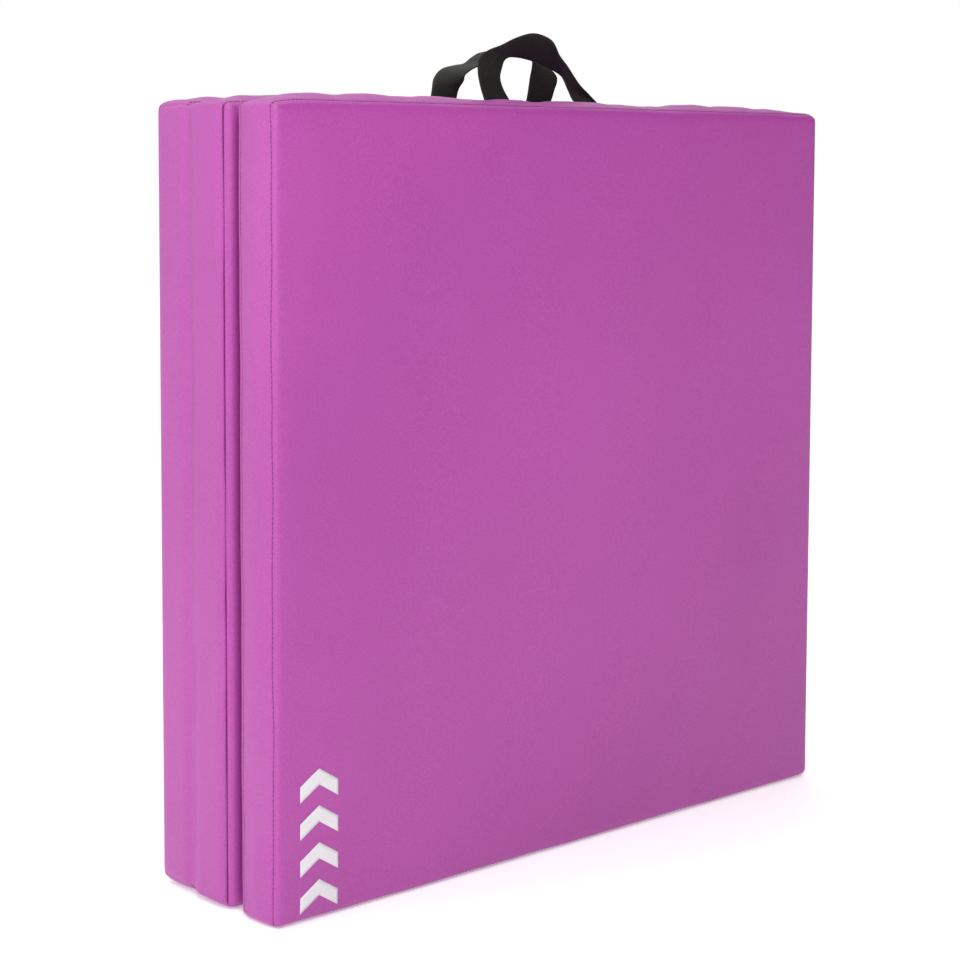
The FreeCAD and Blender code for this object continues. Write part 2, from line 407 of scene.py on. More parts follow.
# %% [markdown]
# ## The shape of a padded panel
# A panel is a box of foam in a tight cover. Two things stop it looking like a block: its edges roll over,
# and its narrow bands puff out between the two seams, which pull in. So the cover starts as a sharp box
# cut by grid lines that crowd towards the edges. The corners of its outline are rounded first, then the
# long edges are rolled, and then the seams are pressed in.

# %% Values for the soft shape
EDGE_ROLL = 7.5 * MM  # radius of the rolled long edges
SEAM_TUCK = 1.2 * MM  # how far the seams pull the outline in, and more on the top
TOP_TUCK = 2.0 * MM
SEAM_DEPTH = 1.2 * MM  # the valley of a seam, and its width
SEAM_WIDTH = 0.8 * MM
TOP_CROWN = 4.6 * MM  # how far the bands stand out between their seams
END_CROWN = 2.2 * MM
PUCKER = 0.22 * MM  # height of the small gathers
WANDER = 0.9 * MM  # how far a seam strays from straight
PULL_REACH = 12 * MM  # how far a seam's pull is felt on a face
TOP_CLIMB = 0.28  # how steeply the skin climbs to the seam on the top


def lines(half, step, near):
    """Grid lines from -half to half: at the distances near in from both ends, and evenly between them."""
    near = np.array(near)
    inner = half - near[-1]
    between = np.linspace(-inner, inner, int(round(2 * inner / step)) + 1)
    ends = half - near[:-1]
    return np.concatenate([-ends, between, ends[::-1]])


ROLL_LINES = EDGE_ROLL * np.array([0.0, 0.32, 0.62, 1.0])
COVER_STEP, NEAR_LINES = 8 * MM, [*ROLL_LINES, 9.5 * MM, 14 * MM, 20 * MM]
ALONG_X = lines(HALF_LENGTH, COVER_STEP, NEAR_LINES)
ALONG_Z = lines(HEIGHT / 2, COVER_STEP, NEAR_LINES) + HEIGHT / 2
seam_in = HALF_THICK - SEAM_Y
ACROSS = lines(
    HALF_THICK,
    5 * MM,
    [*ROLL_LINES[:3], seam_in - 0.45 * MM, seam_in, seam_in + 0.45 * MM, seam_in + 1.4 * MM, seam_in + 3.8 * MM],
)
print("cover grid:", len(ALONG_X), "x", len(ALONG_Z), "x", len(ACROSS))


# %% A closed box made of grids
def box_of_grids(xs, ys, zs):
    """Points and faces of a closed box whose six sides are grids on the same lines, joined at the edges."""
    all_points, all_quads, start = [], [], 0
    for axis in range(3):
        a, b = [i for i in range(3) if i != axis]
        both = (xs, ys, zs)
        A, B = np.meshgrid(both[a], both[b], indexing="ij")
        for side, value in ((-1, both[axis][0]), (1, both[axis][-1])):
            points = np.empty(A.shape + (3,))
            points[..., axis], points[..., a], points[..., b] = value, A, B
            quads = grid_quads(*A.shape, first=start)
            faces_out = side * (-1 if axis == 1 else 1) > 0
            all_quads.append(quads if faces_out else quads[:, ::-1])
            all_points.append(points.reshape(-1, 3))
            start += A.size
    points = np.concatenate(all_points)
    _, keep, where = np.unique(np.round(points / MM, 4), axis=0, return_index=True, return_inverse=True)
    return points[keep], where.reshape(-1)[np.concatenate(all_quads)]


SHARP, COVER_QUADS = box_of_grids(ALONG_X, ACROSS, ALONG_Z)
print("one cover:", len(SHARP), "points,", len(COVER_QUADS), "faces")


# %% Roll the edges
def outward(points, corner_round):
    """In the outline's plane: the depth of each point inside the outline, which way is out, and the point
    itself with the outline's corners rounded. In a corner square the largest of the two distances from the
    arc's centre becomes the distance itself, so square rings turn into circles."""
    x, z = points[:, 0], points[:, 2]
    depth = np.minimum(HALF_LENGTH - np.abs(x), np.minimum(z, HEIGHT - z))
    radius = np.array([[corner_round[0], corner_round[1]], [corner_round[2], corner_round[3]]])[
        (x > 0).astype(int), (z > HEIGHT / 2).astype(int)
    ]
    cx = np.clip(x, -HALF_LENGTH + radius, HALF_LENGTH - radius)
    cz = np.clip(z, radius, HEIGHT - radius)
    d = np.stack([x - cx, z - cz], axis=-1)
    largest = np.abs(d).max(axis=1)
    length = np.maximum(np.linalg.norm(d, axis=1), 1e-12)
    way = d / length[:, None]
    flat = np.stack([cx, cz], axis=-1) + way * largest[:, None]
    # Further in than the corner's arc, out is towards the nearer edges, the nearest counting most.
    near_x = np.sign(x) * np.exp(-(HALF_LENGTH - np.abs(x)) / (4 * MM))
    near_z = np.sign(z - HEIGHT / 2) * np.exp(-np.minimum(z, HEIGHT - z) / (4 * MM))
    near = np.stack([near_x, near_z], axis=-1)
    near /= np.maximum(np.linalg.norm(near, axis=1), 1e-30)[:, None]
    way = np.where((length < 1e-9)[:, None], near, way)
    return depth, way, flat


def rolled(points, corner_round):
    """The sharp box with its long edges rolled: in the plane of depth and thickness, a point beyond the
    roll's centre goes to the circle about that centre, in the same direction."""
    depth, way, flat = outward(points, corner_round)
    across = np.abs(points[:, 1])
    a = np.maximum(EDGE_ROLL - depth, 0)
    b = np.maximum(across - (HALF_THICK - EDGE_ROLL), 0)
    reach = np.maximum(np.hypot(a, b), 1e-12)
    on_roll = (a > 0) & (b > 0)
    new_depth = np.where(on_roll, EDGE_ROLL - EDGE_ROLL * a / reach, depth)
    new_across = np.where(on_roll, HALF_THICK - EDGE_ROLL + EDGE_ROLL * b / reach, across)
    flat = flat + way * (depth - new_depth)[:, None]
    result = np.stack([flat[:, 0], np.sign(points[:, 1]) * new_across, flat[:, 1]], axis=-1)
    return result, way, new_depth


# %% [markdown]
# Each panel has its own small faults: one corner more worn than the rest, a place where a seam dips, and
# waves along the top band where the vinyl was eased into the seam. They are given as bumps with a place,
# a width and a height.

# %% The panels and their small faults
# Corner radii are in the order left bottom, left top, right bottom, right top. Waves and dips are
# (place, width, height), with the place and width in metres and the height in millimetres. The crown is how
# far the front and back faces swell. A face that rests on its neighbour swells hardly at all.
SOFT = {
    "front": {
        "corners": (6 * MM, 8 * MM, 8 * MM, 8 * MM),
        "hinge_sides": (1,),
        "hinge_tuck": 1.7 * MM,
        "top_waves": [
            (-0.18, 0.06, 1.0), (-0.02, 0.04, -0.3), (0.093, 0.034, -1.9), (0.15, 0.03, 0.5), (0.26, 0.04, -0.6)
        ],
        "top_dips": [(-0.302, 0.014, -1.6)],
        "end_waves": [
            (0.045, 0.02, 0.9), (0.09, 0.022, -1.2), (0.15, 0.03, 0.6), (0.33, 0.06, -0.7), (0.5, 0.04, 0.5)
        ],
        "crown": (1.2 * MM, 0.3 * MM),
    },
    "middle": {
        "corners": (8 * MM, 8 * MM, 8 * MM, 8 * MM),
        "hinge_sides": (-1, 1),
        "hinge_tuck": 1.7 * MM,
        "top_waves": [(-0.29, 0.02, 0.4), (-0.2, 0.05, 0.3), (0.02, 0.05, -0.5), (0.2, 0.05, 0.5)],
        "top_dips": [(-0.302, 0.018, -0.8)],
        "end_waves": [],
        "crown": (0.3 * MM, 0.0),
    },
    "rear": {
        "corners": (14 * MM, 10 * MM, 8 * MM, 8 * MM),
        "hinge_sides": (-1,),
        "hinge_tuck": 3.3 * MM,
        "top_waves": [(-0.25, 0.04, -0.4), (-0.05, 0.06, 0.4), (0.15, 0.05, -0.3)],
        "top_dips": [(0.302, 0.016, -1.0)],
        "end_waves": [(0.08, 0.03, 0.7), (0.2, 0.05, -0.9), (0.42, 0.06, 0.6)],
        "crown": (0.0, 1.2 * MM),
    },
}


def waves(along, bumps):
    """The sum of bumps, each a bell curve: height times exp(-((along - place) / width) squared)."""
    total = np.zeros_like(along)
    for middle, width, height in bumps:
        total = total + height * MM * np.exp(-(((along - middle) / width) ** 2))
    return total


def wander(x, z, phase):
    """How far a seam strays from its straight line, from -1 to 1: two slow sines along the outline."""
    along = x + z
    return 0.6 * np.sin(along / (31 * MM) + phase) + 0.4 * np.sin(along / (13.3 * MM) + 2.6 * phase)


def puckers(x, z, phase):
    """Small gathers along the outline: three sines of unlike length, added, from -1 to 1."""
    along = x + z
    total = np.sin(along / (2.9 * MM) + phase) + np.sin(along / (4.7 * MM) + 2.1 * phase)
    return (total + 1.4 * np.sin(along / (9.1 * MM) + 3.7 * phase)) / 3.4


def soft_base(points, panel):
    """The padded form before the vinyl is let out: rolled, and pulled in at the seams. Also gives the
    outward way of each point and how much of a free band it is."""
    soft = SOFT[panel]
    sharp = points
    points, way, depth = rolled(sharp, soft["corners"])
    x, y, z = points.T
    top = smoothstep((way[:, 1] - 0.1) / 0.75)
    bottom = smoothstep((-way[:, 1] - 0.1) / 0.75)
    end = 1 - top - bottom
    on_hinge = np.isin(np.sign(sharp[:, 0]), soft["hinge_sides"])
    tuck = top * TOP_TUCK + bottom * SEAM_TUCK + end * np.where(on_hinge, soft["hinge_tuck"], SEAM_TUCK)
    pull = np.where(depth < EDGE_ROLL * 1.01, 1.0, np.exp(-(depth - EDGE_ROLL) / PULL_REACH))
    from_seam = np.abs(y) - SEAM_Y
    near_seam = np.exp(-((from_seam / SEAM_WIDTH) ** 2)) * (depth < EDGE_ROLL)
    # On the top the skin climbs all the way to the seam, so that the seam shows from the front.
    climb = TOP_CLIMB * np.clip(from_seam, 0, 3 * MM) * top * (1 - smoothstep(depth / EDGE_ROLL))
    phase = np.where(y > 0, 1.3, 4.1) + 2.0 * list(SOFT).index(panel)
    gather = PUCKER * puckers(sharp[:, 0], sharp[:, 2], phase) * np.exp(-np.abs(from_seam) / (4 * MM))
    gather = gather * (depth < EDGE_ROLL) * (1 - end * on_hinge)
    sunk = SEAM_DEPTH * (1 - 0.5 * top * (from_seam > 0)) * near_seam
    out = -(tuck - waves(x, soft["top_dips"]) * top) * pull - sunk - climb + gather
    points[:, 0] += way[:, 0] * out
    points[:, 2] += way[:, 1] * out
    stray = WANDER * wander(sharp[:, 0], sharp[:, 2], phase) * (1 - end * on_hinge)
    points[:, 1] += stray * np.exp(-((from_seam / (3.5 * MM)) ** 2)) * (depth < EDGE_ROLL * 0.5)
    band = np.clip(1 - (y / SEAM_Y) ** 2, 0, 1) * (depth < EDGE_ROLL * 0.5)
    # The band lies lower near its corners, where both seams hold it.
    fade = 1 - 0.7 * np.exp(-(((HALF_LENGTH - np.abs(x)) / (24 * MM)) ** 2))
    ends = END_CROWN + waves(z, soft["end_waves"])
    lift = top * (TOP_CROWN + waves(x, soft["top_waves"])) * fade + bottom * SEAM_TUCK + end * ends * ~on_hinge
    return points, way, band * lift


# %% [markdown]
# ## Let the vinyl settle
# The vinyl is cut a little larger than the foam, and the foam presses it out between the seams. Blender's
# cloth does the same: the seam lines are held, the open faces are held softly, as by the foam behind them,
# and the bands are free and a little over one per cent too large. A light pressure from inside fills them
# for a few steps. What the cloth does is kept within a small height, so that no face meets its neighbour.

# %% Cloth
CLOTH_FRAMES = 16
OPEN_FACE_HELD = 0.35
BAND_KEEP = 0.8 * MM  # how much of the cloth's movement is kept, on the bands and on the open faces
FACE_KEEP = 0.4 * MM
OPEN_CROWN = 0.7 * MM  # a face with a higher crown than this is an open one
FACE_FALL, FALL_REACH = 1.3 * MM, 13 * MM  # how far an open face falls back at its edge, and over what


def settle(points, quads, held):
    """Runs the cloth on a spare copy and returns how far each point moved. held is from 0, free, to 1."""
    trial = put("trial_cover", points, quads)
    group = trial.vertex_groups.new(name="held")
    for weight in np.unique(held):
        group.add(np.flatnonzero(held == weight).tolist(), float(weight), "REPLACE")
    cloth = trial.modifiers.new("cloth", "CLOTH")
    rules = cloth.settings
    rules.quality = 4
    rules.mass = 0.3
    rules.tension_stiffness = rules.compression_stiffness = 40.0
    rules.shear_stiffness = 20.0
    rules.bending_stiffness = 1.0
    rules.air_damping = 5.0
    rules.vertex_group_mass = "held"
    rules.pin_stiffness = 5.0
    rules.use_pressure = True
    rules.uniform_pressure_force = 1.5
    rules.vertex_group_shrink = "held"
    rules.shrink_min = -0.012
    rules.shrink_max = 0.0
    rules.effector_weights.gravity = 0.0
    cloth.collision_settings.use_collision = False
    cloth.point_cache.frame_start, cloth.point_cache.frame_end = 1, CLOTH_FRAMES
    scene = bpy.context.scene
    for step in range(1, CLOTH_FRAMES + 1):
        scene.frame_set(step)
        seen = trial.evaluated_get(bpy.context.evaluated_depsgraph_get())
    moved = np.empty(len(points) * 3)
    seen.data.vertices.foreach_get("co", moved)
    moved = moved.reshape(-1, 3) - points
    mesh = trial.data
    bpy.data.objects.remove(trial)
    bpy.data.meshes.remove(mesh)
    scene.frame_set(1)
    return moved


def held_by(points, sharp, panel):
    """How firmly each point is held: wholly at the seams and on resting faces, partly on open faces, and
    not at all on bands."""
    on_face = np.abs(sharp[:, 1]) > SEAM_Y + 0.2 * MM
    near_seam = np.abs(np.abs(sharp[:, 1]) - SEAM_Y) < 0.6 * MM
    held = np.where(on_face, OPEN_FACE_HELD, np.where(near_seam, 1.0, 0.0))
    resting = {"front": sharp[:, 1] > 1, "middle": sharp[:, 1] > 0, "rear": sharp[:, 1] < 0}[panel]
    held[on_face & resting] = 1.0
    return held


def soft_cover(panel):
    """The finished form of one panel's cover: the base, then the cloth's movement, kept within its height,
    then the crown of each face, which is highest in the middle: one less the fourth power of the distance
    from the middle, along and up, multiplied."""
    base, way, lift = soft_base(SHARP, panel)
    moved = np.zeros_like(base)
    moved = settle(base, COVER_QUADS, held_by(base, SHARP, panel))
    out = moved[:, 0] * way[:, 0] + moved[:, 2] * way[:, 1]
    out = out * (np.abs(SHARP[:, 1]) < SEAM_Y)
    on_band = (lift > 0.5 * MM) & (np.abs(SHARP[:, 1]) < 6 * MM)
    low, middle, high = np.percentile(out[on_band], [5, 50, 95]) / MM
    print(f"{panel} cloth moved the middle of its bands by {low:.2f}, {middle:.2f}, {high:.2f} mm")
    print(f"{panel} cloth moved its faces by up to {np.abs(moved[:, 1]).max() / MM:.2f} mm")
    wave = np.clip(out, -1.5 * MM, 1.5 * MM)
    wave = wave - np.median(out[lift > 0.5 * lift.max()]) * (lift > 0)
    up = lift + np.clip(wave, -BAND_KEEP, BAND_KEEP) * np.clip(lift / (1 * MM), 0, 1)
    points = base.copy()
    points[:, 0] += way[:, 0] * up
    points[:, 2] += way[:, 1] * up
    x, z = SHARP[:, 0], SHARP[:, 2]
    arch = np.clip((1 - (x / HALF_LENGTH) ** 4) * (1 - (2 * z / HEIGHT - 1) ** 4), 0, 1)
    on_face = np.abs(SHARP[:, 1]) >= HALF_THICK - 1e-9
    crown = np.where(SHARP[:, 1] > 0, SOFT[panel]["crown"][1], -SOFT[panel]["crown"][0])
    depth = np.minimum(HALF_LENGTH - np.abs(x), np.minimum(z, HEIGHT - z))
    is_open = np.abs(crown) > OPEN_CROWN
    loose = FACE_KEEP * np.tanh(moved[:, 1] / FACE_KEEP) * is_open
    loose *= smoothstep((depth - EDGE_ROLL) / (15 * MM))
    # An open face falls back softly over its last few centimetres.
    fall = -np.sign(SHARP[:, 1]) * FACE_FALL * np.exp(-depth / FALL_REACH) * is_open
    fall *= smoothstep(depth / EDGE_ROLL)
    points[:, 1] += (crown * arch + loose + fall) * on_face
    points[:, 2] = np.maximum(points[:, 2], 0.0)
    return points


# %% [markdown]
# ## Make the three covers
# Each cover is one closed mesh of its own, smoothed once by a Subdivision Surface. It replaces the plain
# skins and bands of its panel in the picture, and rides on the panel's body.


# %% Covers
def finish_piece(piece, body, material, replaced=(), levels=0):
    """Gives a piece its material, smoothing and body, and hides the nodes it stands for."""
    piece.data.materials.append(material)
    if levels:
        smoother = piece.modifiers.new("smooth", "SUBSURF")
        smoother.levels = smoother.render_levels = levels
    if body:
        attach(piece, body)
    if replaced:
        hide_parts(*replaced)
    return piece


COVERS = {}
for panel in SOFT:
    cover = put(f"{panel}_panel_cover", place(soft_cover(panel), panel), COVER_QUADS)
    hidden = [f"{panel}_panel_{part}" for part in ("front_skin", "back_skin")]
    hidden += [f"{panel}_panel_{side}_band" for side in ("top", "bottom", "left", "right")]
    COVERS[panel] = finish_piece(cover, f"{panel}_panel", VINYL, hidden, levels=1)
    print(cover.name, "made")

# %% [markdown]
# ## Foam cores
# The foam is out of sight, but it is a piece of its own and fills each cover. It is the same rolled box
# on wider grid lines, a few millimetres smaller all round.

# %% Foam
FOAM_IN = 4.5 * MM
foam_x = lines(HALF_LENGTH, 60 * MM, [*ROLL_LINES, 12 * MM])
foam_z = lines(HEIGHT / 2, 60 * MM, [*ROLL_LINES, 12 * MM]) + HEIGHT / 2
foam_points, foam_quads = box_of_grids(foam_x, lines(HALF_THICK, 10 * MM, ROLL_LINES), foam_z)
for panel in SOFT:
    block, _, _ = rolled(foam_points, SOFT[panel]["corners"])
    centre = np.array([0, 0, HEIGHT / 2])
    half = np.array([HALF_LENGTH, HALF_THICK, HEIGHT / 2])
    block = centre + (block - centre) * (half - FOAM_IN) / half
    core = put(f"{panel}_panel_foam", place(block, panel), foam_quads)
    finish_piece(core, f"{panel}_panel", FOAM, [f"{panel}_panel_foam_core"])
print("three foam cores")

# %% [markdown]
# ## Seam stitches
# Each face of a panel is sewn to the bands by a ring of stitches in the valley of the seam. One stitch is
# a small capsule, and it is repeated along the ring at an even step.


# %% Stitches
STITCH_STEP, STITCH_LONG, STITCH_THICK = 3.6 * MM, 2.7 * MM, 0.62 * MM
LOOK = 1.5 * MM  # how far each way the direction of a stitch is taken from


def ring_of_seam(panel, side):
    """Points round one seam of a panel, and the outward way at each: the outline at the seam's place."""
    fine_x = np.linspace(-1, 1, 400) * HALF_LENGTH
    fine_z = np.linspace(0, 1, 400) * HEIGHT
    bottom = np.stack([fine_x, 0 * fine_x], -1)
    right = np.stack([0 * fine_z + HALF_LENGTH, fine_z], -1)
    loop = np.concatenate([bottom[:-1], right[:-1], bottom[::-1][:-1] + [0, HEIGHT], right[::-1][:-1] * [-1, 1]])
    sharp = np.stack([loop[:, 0], np.full(len(loop), side * SEAM_Y), loop[:, 1]], axis=-1)
    points, way, _ = soft_base(sharp, panel)
    return points, np.stack([way[:, 0], 0 * way[:, 0], way[:, 1]], axis=-1)


def at_distance(spot, walked, values):
    """What a ring's values are at some distances along it."""
    return np.stack([np.interp(spot, walked, values[:, k]) for k in range(3)], axis=-1)


def capsule():
    """A stitch along X: rings of six points that swell from nothing to the thread's radius and back."""
    t = np.linspace(0, math.pi, 6)[1:-1]
    turn = np.linspace(0, 2 * math.pi, 6, endpoint=False)
    T, A = np.meshgrid(t, turn, indexing="ij")
    radius = STITCH_THICK / 2 * np.sin(T) ** 0.6
    body = np.stack([-np.cos(T) * STITCH_LONG / 2, radius * np.cos(A), radius * np.sin(A)], -1).reshape(-1, 3)
    quads = grid_quads(4, 6, close_columns=True).tolist()
    tips = [[-STITCH_LONG / 2, 0, 0], [STITCH_LONG / 2, 0, 0]]
    first, last = len(body), len(body) + 1
    caps = [[first, (k + 1) % 6, k] for k in range(6)] + [[last, 18 + k, 18 + (k + 1) % 6] for k in range(6)]
    return np.concatenate([body, tips]), quads + caps


STITCH, STITCH_FACES = capsule()
for panel in SOFT:
    for side, word in ((-1, "front"), (1, "back")):
        ring, way = ring_of_seam(panel, side)
        closed = np.concatenate([ring, ring[:1]])
        walked = np.concatenate([[0], np.cumsum(np.linalg.norm(np.diff(closed, axis=0), axis=1))])
        count = int(walked[-1] / STITCH_STEP)
        spot = (np.arange(count) + 0.5) * walked[-1] / count
        at = at_distance(spot, walked, closed)
        ahead = at_distance(spot + LOOK, walked, closed)
        back = at_distance(spot - LOOK, walked, closed)
        along = (ahead - back) / np.linalg.norm(ahead - back, axis=1)[:, None]
        across = np.broadcast_to([0.0, 1.0, 0.0], along.shape)
        up = np.cross(along, across)
        outwards = at_distance(spot, walked[:-1], way)
        up = up * np.sign((up * outwards).sum(1))[:, None]
        frame_of = np.stack([along, across, up], axis=1)
        flip = np.sign(np.linalg.det(frame_of))
        frame_of[:, 1] *= flip[:, None]
        rise = 0.3 * MM + 0.35 * MM * smoothstep(up[:, 2])
        points = at[:, None] + (rise[:, None] * up)[:, None] + STITCH[None] @ frame_of
        points[..., 2] = np.maximum(points[..., 2], 0.0)
        faces = [[index + k * len(STITCH) for index in face] for k in range(count) for face in STITCH_FACES]
        stitches = put(f"{panel}_{word}_stitches", place(points, panel), faces)
        finish_piece(stitches, f"{panel}_panel", THREAD, [f"{panel}_panel_{word}_seam_thread"])
print("stitches in a ring:", count)

# %% [markdown]
# ## Hinge vinyl
# At each hinge one piece of vinyl runs over the ends of both panels, from the outer seam of one to the
# outer seam of the other, with a soft crease on the hinge line. On the real mat it bends there when the mat
# unfolds; this piece is made in one pose only. Its ends follow the rounded corners a little way and then
# sink under the covers.


# %% Hinge sheets
END_ARC, ARC_ROWS, UPRIGHT_ROWS = 42, 8, 62  # degrees of arc at each end, and the rows of the grid
SEAM_FALL, CREASE_FALL, CREASE_HALF = 2.5 * MM, 2.3 * MM, 11 * MM
BOW, HINGE_THICK, REAR_LEAN = 0.45 * MM, 0.8 * MM, 1.6 * MM


def thick_sheet(name, outer, thickness):
    """A grid of points made into a closed thin piece: the grid, a copy set in by the thickness against its
    own normals, and a rim between them."""
    rows, columns = outer.shape[:2]
    du, dv = np.gradient(outer, axis=0), np.gradient(outer, axis=1)
    normal = np.cross(du, dv)
    normal /= np.linalg.norm(normal, axis=-1, keepdims=True)
    inner = outer - thickness * normal
    count = rows * columns
    front = grid_quads(rows, columns)
    inside = grid_quads(rows, columns, first=count)[:, ::-1]
    i, j = np.arange(rows), np.arange(columns)
    border = np.concatenate(
        [i[:-1] * columns, (rows - 1) * columns + j[:-1], i[:0:-1] * columns + columns - 1, j[:0:-1]]
    )
    after = np.roll(border, -1)
    rim = np.stack([border, after, after + count, border + count], axis=-1)[:, ::-1]
    points = np.concatenate([outer.reshape(-1, 3), inner.reshape(-1, 3)])
    return put(name, points, np.concatenate([front, inside, rim]))


def hinge_surface(side, centre_y, near, far, lean):
    """Outer surface of the hinge vinyl: rows up the end of the mat, columns across it. Across, it is level
    over each band, falls to the outer seams as the sixth power and to the crease as a smooth step, and its
    far half may lean in. Up, it is straight but for a slow bow, the sum of two sines, and ends in arcs."""
    v = np.concatenate([
        np.linspace(-1, -0.62, 9)[:-1],
        np.linspace(-0.62, -0.08, 9)[:-1],
        np.linspace(-0.08, 0.08, 13),
        np.linspace(0.08, 0.62, 9)[1:],
        np.linspace(0.62, 1, 9)[1:],
    ])
    reach = PITCH / 2 + SEAM_Y
    y = v * reach
    from_hinge = np.abs(y)
    inward = 0.25 * MM + SEAM_FALL * np.clip((from_hinge - PITCH / 2) / SEAM_Y, 0, 1) ** 6
    inward = inward + CREASE_FALL * (1 - smoothstep(from_hinge / CREASE_HALF)) + lean * np.clip(y / reach, 0, 1)
    far_share = smoothstep((y + 4 * MM) / (8 * MM))
    low = near[0] + (far[0] - near[0]) * far_share
    high = near[1] + (far[1] - near[1]) * far_share
    plane = HALF_LENGTH + 0.5 * MM - inward
    arc = np.linspace(0, END_ARC, ARC_ROWS)
    swing = np.radians(np.concatenate([np.linspace(-END_ARC, 0, ARC_ROWS)[:-1], np.zeros(UPRIGHT_ROWS), arc[1:]]))
    climb = np.concatenate([np.zeros(ARC_ROWS - 1), np.linspace(0, 1, UPRIGHT_ROWS), np.ones(ARC_ROWS - 1)])
    S, V = np.meshgrid(swing, np.arange(len(y)), indexing="ij")
    C = np.broadcast_to(climb[:, None], S.shape)
    radius = np.where(S < 0, low[V], np.where(S > 0, high[V], 0))
    sunk = 2.4 * MM * smoothstep((np.abs(S) - math.radians(12)) / math.radians(26))
    foot, head = low[V], HEIGHT - high[V]
    bow = BOW * (np.sin(C * 23 + 5 * V / len(y)) + np.sin(C * 9.5 - 4 * V / len(y)))
    bow = bow * (1 - np.abs(2 * C - 1) ** 6)
    arm = plane[V] - HALF_LENGTH + radius - sunk
    x = np.where(S != 0, HALF_LENGTH - radius + arm * np.cos(S), plane[V] - np.abs(bow))
    z = np.where(S != 0, np.where(S < 0, foot, head) + arm * np.sin(S), foot + (head - foot) * C)
    Y = np.broadcast_to(y[None], S.shape) + centre_y
    return np.stack([side * x, Y, z], axis=-1)


HINGES = {
    "rear": (-1, ("middle", 0, 1), ("rear", 0, 1)),
    "front": (1, ("front", 2, 3), ("middle", 2, 3)),
}
for name, (side, near, far) in HINGES.items():
    radii = [(SOFT[panel]["corners"][a], SOFT[panel]["corners"][b]) for panel, a, b in (near, far)]
    outer = hinge_surface(side, HINGE[name][1], *radii, REAR_LEAN if name == "rear" else 0.0)
    if side < 0:
        outer = outer[:, ::-1]
    if name == "front":
        share = smoothstep((HINGE["front"][1] + 1 * MM - outer[..., 1]) / (2 * MM))
        outer = turned(outer, HINGE["front"], AJAR * share)
    vinyl_over = thick_sheet(f"{name}_hinge_vinyl", outer, HINGE_THICK)
    hidden = [f"{name}_hinge_bead"] + [f"{name}_hinge_leaf_on_{panel}_panel" for panel, _, _ in (near, far)]
    finish_piece(vinyl_over, None, VINYL, hidden)
    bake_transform(vinyl_over)

# %% [markdown]
# ## Webbing loops
# A loop is one strap that leaves the seam flat, twists as it rises, and leans over at the top. Its two
# edges are given as points, and each edge runs smoothly through them. The strap itself lies between them,
# and both of its ends go on down into the seam.


# %% The two edges of each strap, in millimetres
LOOPS = {
    "front": {
        "body": "front_panel",
        "outer": [
            (-64, -35.6, 600), (-67, -33.5, 613), (-68.5, -32, 625), (-66, -31, 635.5), (-56.5, -31, 642),
            (-42.5, -31, 646.5), (-28, -31.5, 652.5), (-12, -32, 657), (1, -32, 656.5), (13.5, -32.5, 651.5),
            (20, -33, 641), (28.5, -34, 632), (41, -35.5, 617.5), (53, -36.5, 608.5), (66, -34, 600)
        ],
        "inner": [
            (-35, -35.2, 600), (-38, -29.5, 611.5), (-39.5, -27, 621), (-36, -25.5, 629.5), (-28.5, -20, 635),
            (-19, -14, 637.8), (-12, -11, 638.6), (-1, -10, 638.2), (11, -10, 636.3), (24, -11.5, 632.2),
            (36, -12.5, 628), (44, -12, 624), (48.5, -13, 615.5), (46.5, -20, 607), (38.5, -34.2, 600)
        ],
    },
    "rear": {
        "body": "rear_panel",
        "outer": [
            (-64, 30.5, 600), (-60.5, 32, 613), (-55, 36, 622), (-43, 41, 629.5), (-27, 44.5, 633),
            (-15, 45, 635), (-6, 45, 640.5), (5, 45, 645), (28, 44, 647), (60, 38, 641), (75, 27, 628),
            (73, 27.5, 614), (70, 30.5, 600)
        ],
        "inner": [
            (-36, 30.5, 600), (-35.5, 27.5, 612.5), (-36.5, 20, 619.5), (-38, 16, 624.5), (-28, 16, 630.5),
            (-17, 16.5, 633.5), (-8, 16.5, 638), (4, 17, 641.5), (26, 18, 643.5), (41, 21, 639.5),
            (44, 27, 625), (42.5, 28, 612), (42, 30.5, 600)
        ],
    },
}
STRAP_THICK = 1.6 * MM
TAIL = 27 * MM


def through(stations, fine):
    """A smooth curve through the stations: cubic pieces whose slope at a station is that between its
    neighbours, with fine points on each piece."""
    p = np.concatenate([2 * stations[:1] - stations[1:2], stations, 2 * stations[-1:] - stations[-2:-1]])
    t = np.linspace(0, 1, fine, endpoint=False)[None, :, None]
    a, b, c, d = (p[k : len(p) - 3 + k][:, None] for k in range(4))
    curve = 0.5 * (2 * b + (c - a) * t + (2 * a - 5 * b + 4 * c - d) * t**2 + (3 * b - a - 3 * c + d) * t**3)
    return np.concatenate([curve.reshape(-1, 3), stations[-1:]])


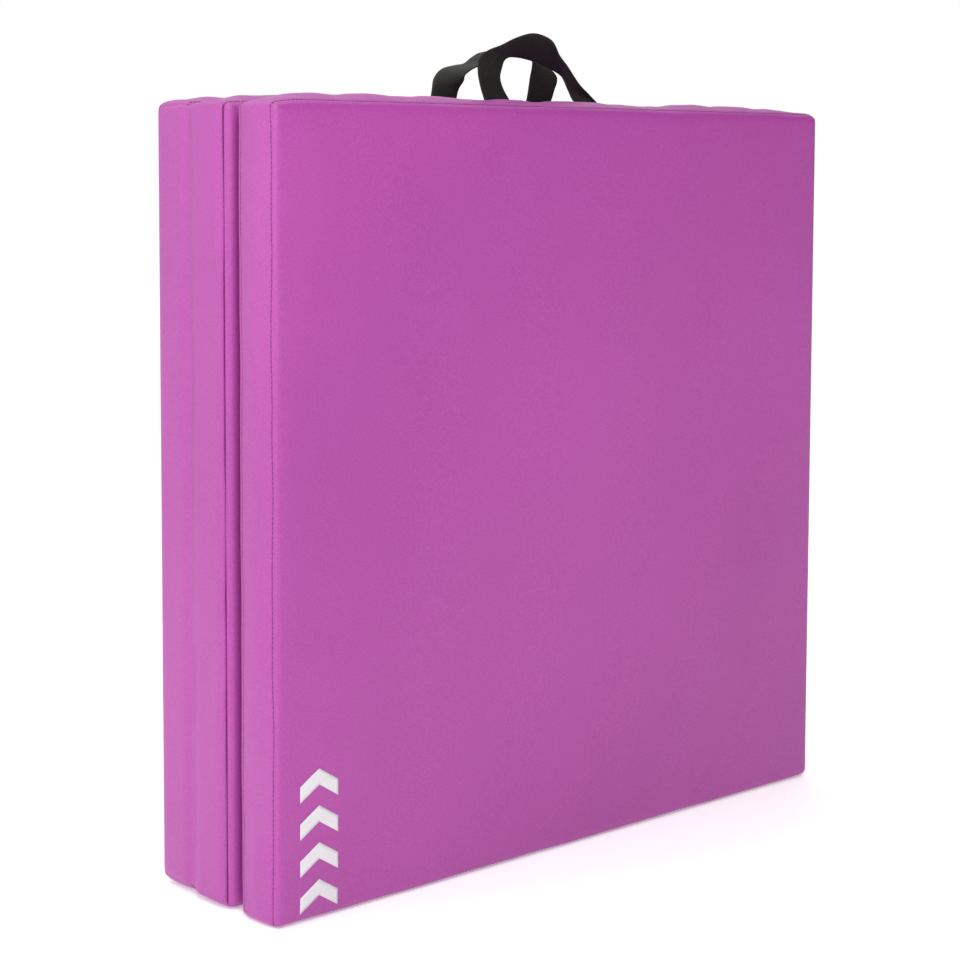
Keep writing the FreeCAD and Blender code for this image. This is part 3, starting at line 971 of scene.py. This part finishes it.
def strap(name, outer, inner):
    """A closed ribbon between two edges: rows along it, and a ring of points round its section, flat on
    both sides with rounded edges. Its UV map holds metres across and along."""
    drop = np.array([[0, 0, -TAIL], [0, 0, -TAIL * 2 / 3], [0, 0, -TAIL / 3]])
    edges = []
    for edge in (outer, inner):
        edge = np.array(edge, float) * MM
        edge = np.concatenate([edge[:1] + drop, edge, edge[-1:] + drop[::-1]])
        edges.append(through(edge, 6))
    A, B = edges
    rows = len(A)
    share = np.array([0.0, 0.03, 0.12, 0.26, 0.42, 0.58, 0.74, 0.88, 0.97, 1.0])
    sheet = A[:, None] * (1 - share[None, :, None]) + B[:, None] * share[None, :, None]
    along = np.gradient(sheet, axis=0)
    across = np.broadcast_to((B - A)[:, None], sheet.shape)
    normal = np.cross(along, across)
    normal /= np.linalg.norm(normal, axis=-1, keepdims=True)
    half = STRAP_THICK / 2 * np.array([0.0, 0.75, 1, 1, 1, 1, 1, 1, 0.75, 0.0])
    top = sheet + normal * half[None, :, None]
    under = sheet - normal * half[None, :, None]
    ring = np.concatenate([top, under[:, 1:-1][:, ::-1]], axis=1)
    columns = ring.shape[1]
    faces = grid_quads(rows, columns, close_columns=True)[:, ::-1].tolist()
    faces += [list(range(columns)), list(range((rows - 1) * columns, rows * columns))[::-1]]
    piece = put(name, ring, faces)
    walked = np.concatenate([[0], np.cumsum(np.linalg.norm(np.diff((A + B) / 2, axis=0), axis=1))])
    width = np.linalg.norm(B - A, axis=1).mean()
    spread = np.concatenate([share, share[1:-1][::-1]]) * width
    U = np.broadcast_to(spread[None], (rows, columns))
    V = np.broadcast_to(walked[:, None], (rows, columns))
    flat = np.stack([U, V], axis=-1).reshape(-1, 2)
    corner = np.empty(len(piece.data.loops), int)
    piece.data.loops.foreach_get("vertex_index", corner)
    layer = piece.data.uv_layers.new(name="strap")
    layer.data.foreach_set("uv", flat[corner].reshape(-1))
    print(name, "width", round(float(width), 4), "length", round(float(walked[-1]), 3))
    return piece


for name, loop in LOOPS.items():
    piece = strap(f"{name}_webbing", loop["outer"], loop["inner"])
    finish_piece(piece, None, WEBBING, [f"{name}_handle_loop", f"{name}_handle_tails"])
    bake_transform(piece)

# %% [markdown]
# ## Printed mark
# A plain stack of white chevrons is printed low on the front face, near its left edge. Each is a thin film
# of ink that lies on the vinyl wherever the vinyl is.


# %% Chevrons
def chevron(low, left, width, rise, stroke):
    """Points in the face's plane, as rows from end to end and columns across the stroke: the middle of the
    chevron is higher than its two ends by the rise."""
    t = np.linspace(-1, 1, 21)
    middle = low + rise * (1 - np.abs(t))
    X = left + width * (t[:, None] + 1) / 2 + np.zeros((1, 5))
    return X, middle[:, None] + stroke * np.linspace(0, 1, 5)[None]


CHEVRON_LOW, CHEVRON_STEP, CHEVRON_IN = 8 * MM, 27.5 * MM, 22 * MM
CHEVRON_WIDTH, CHEVRON_RISE, CHEVRON_STROKE = 35 * MM, 11 * MM, 12 * MM
INK_THICK, INK_OVER = 0.3 * MM, 0.12 * MM
deps = bpy.context.evaluated_depsgraph_get()
cover_mesh = COVERS["front"].evaluated_get(deps)
toward = turned(np.array([0.0, 1.0, 0.0]), np.zeros(2), AJAR)
films = []
for k in range(4):
    low, left = CHEVRON_LOW + k * CHEVRON_STEP, -HALF_LENGTH + CHEVRON_IN
    X, Z = chevron(low, left, CHEVRON_WIDTH, CHEVRON_RISE, CHEVRON_STROKE)
    begin = place(np.stack([X, np.full(X.shape, -0.06), Z], axis=-1), "front")
    skin = np.empty_like(begin)
    for index in np.ndindex(X.shape):
        hit, point, _, _ = cover_mesh.ray_cast(Vector(begin[index]), Vector(toward))
        skin[index] = point if hit else begin[index]
    films.append(skin - toward * INK_OVER)
    film = thick_sheet(f"printed_chevron_{k + 1}", films[-1], INK_THICK)
    finish_piece(film, "front_panel", INK)
print("printed chevrons:", len(films))
